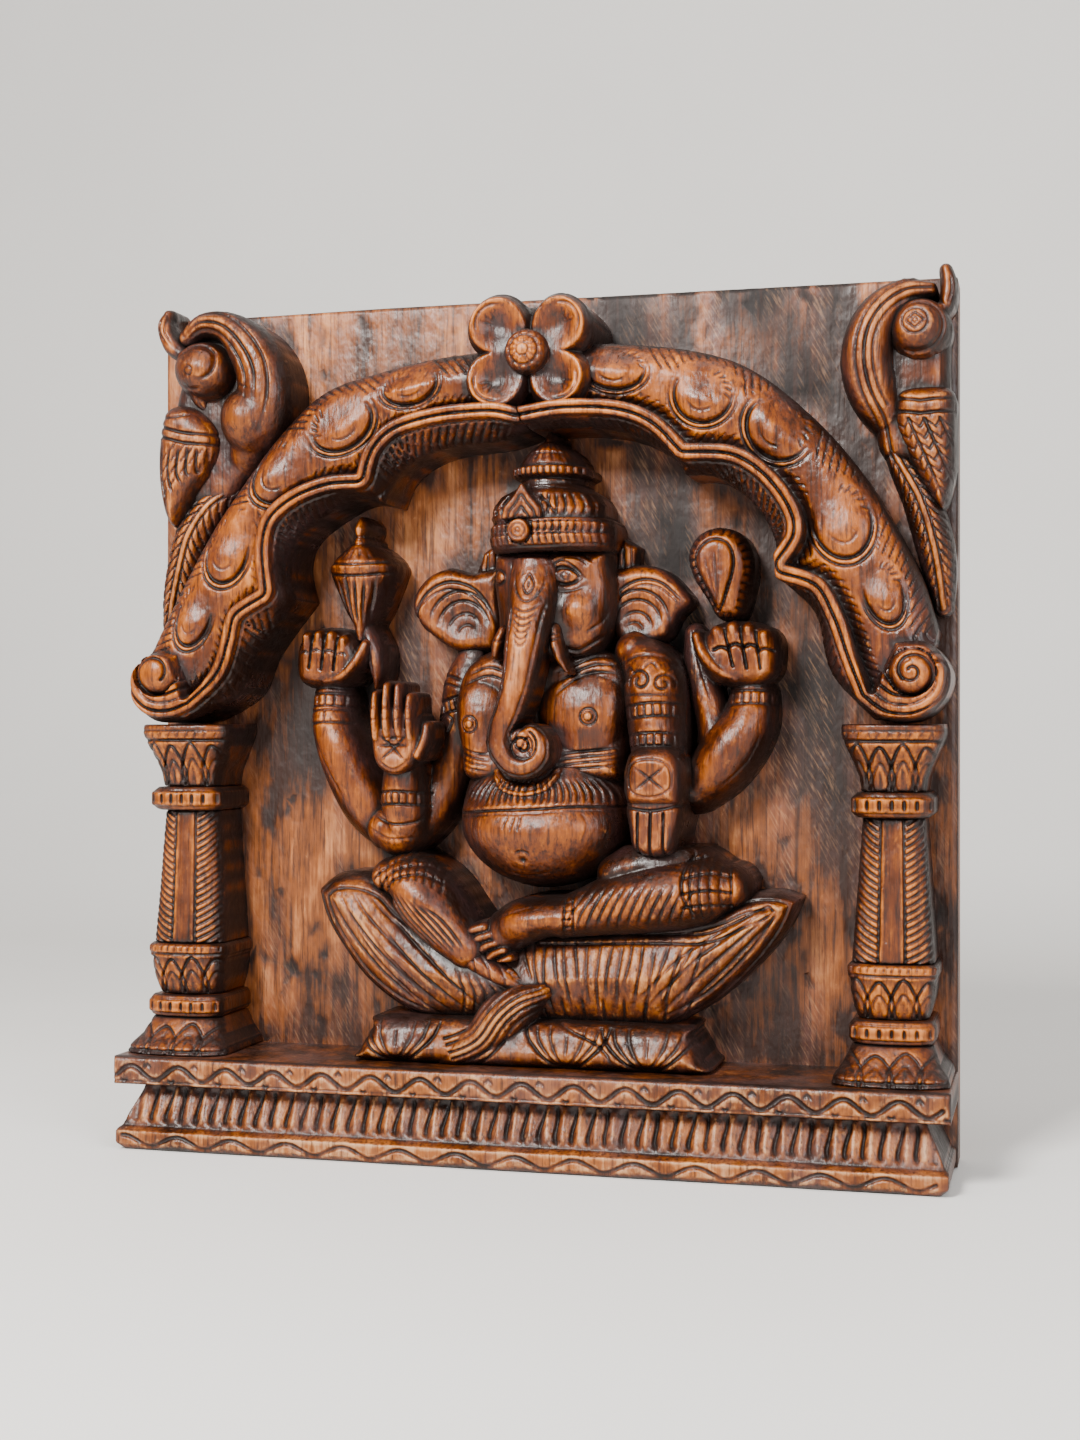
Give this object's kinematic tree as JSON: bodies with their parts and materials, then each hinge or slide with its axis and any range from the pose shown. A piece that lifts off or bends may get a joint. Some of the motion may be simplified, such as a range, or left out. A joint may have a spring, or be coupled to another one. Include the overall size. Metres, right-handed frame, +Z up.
{
  "type": "carved wooden wall panel",
  "caption": "Carved hardwood wall panel: a seated elephant-headed figure under a cusped arch on two pillars, with birds in the top corners and keyhole plates let into the flat back.",
  "frame": {"origin": "centre of the flat back face, on the wall", "axes": "+Z up, +Y into the wall, so the carved side faces -Y, and +X to the right of someone looking at the carving"},
  "size_m": [0.44, 0.092, 0.457],
  "materials": {
    "board_wood": "varnished, worn, vertical grain with grey-violet stain",
    "base_wood": "varnished, worn pale on the edges, near-black stain in the cuts",
    "pillar_wood": "satin varnish over reddish-brown stain",
    "arch_wood": "satin varnish, orange-brown on the raised scales, dark in the grooves",
    "bird_wood": "satin varnish, dark in the grooves",
    "figure_wood": "satin varnish, orange-brown on the raised forms, near-black in the cuts",
    "seat_wood": "satin varnish, darker between the folds",
    "plate_steel": "plain zinc-plated steel strip",
    "screw_steel": "zinc-plated countersunk wood screw"
  },
  "bodies": {
    "root": {"back_board": "board_wood", "base_plinth": "base_wood", "base_rail": "base_wood", "belly": "figure_wood", "bud_mace": "figure_wood", "chest": "figure_wood", "crown_band": "figure_wood", "crown_dome": "figure_wood", "elephant_head": "figure_wood", "leaf_paddle": "figure_wood", "left_arch_crest": "arch_wood", "left_arch_moulding": "arch_wood", "left_bird_head": "bird_wood", "left_bird_neck": "bird_wood", "left_bird_tail": "bird_wood", "left_bird_wing": "bird_wood", "left_ear": "figure_wood", "left_foot": "figure_wood", "left_front_arm": "figure_wood", "left_front_hand": "figure_wood", "left_hanging_plate": "plate_steel", "left_leg": "figure_wood", "left_lower_screw": "screw_steel", "left_pillar_bulb": "pillar_wood", "left_pillar_capital": "pillar_wood", "left_pillar_foot": "pillar_wood", "left_pillar_lower_ring": "pillar_wood", "left_pillar_shaft": "pillar_wood", "left_pillar_upper_ring": "pillar_wood", "left_rear_arm": "figure_wood", "left_tusk": "figure_wood", "left_upper_screw": "screw_steel", "lotus_base": "seat_wood", "lotus_seat": "seat_wood", "right_arch_crest": "arch_wood", "right_arch_moulding": "arch_wood", "right_bird_head": "bird_wood", "right_bird_neck": "bird_wood", "right_bird_tail": "bird_wood", "right_bird_wing": "bird_wood", "right_ear": "figure_wood", "right_front_arm": "figure_wood", "right_front_hand": "figure_wood", "right_hanging_plate": "plate_steel", "right_leg": "figure_wood", "right_lower_screw": "screw_steel", "right_pillar_bulb": "pillar_wood", "right_pillar_capital": "pillar_wood", "right_pillar_foot": "pillar_wood", "right_pillar_lower_ring": "pillar_wood", "right_pillar_shaft": "pillar_wood", "right_pillar_upper_ring": "pillar_wood", "right_rear_arm": "figure_wood", "right_tusk": "figure_wood", "right_upper_screw": "screw_steel", "rosette_centre": "arch_wood", "rosette_petals": "arch_wood", "trunk": "figure_wood"}
  },
  "joints": []
}
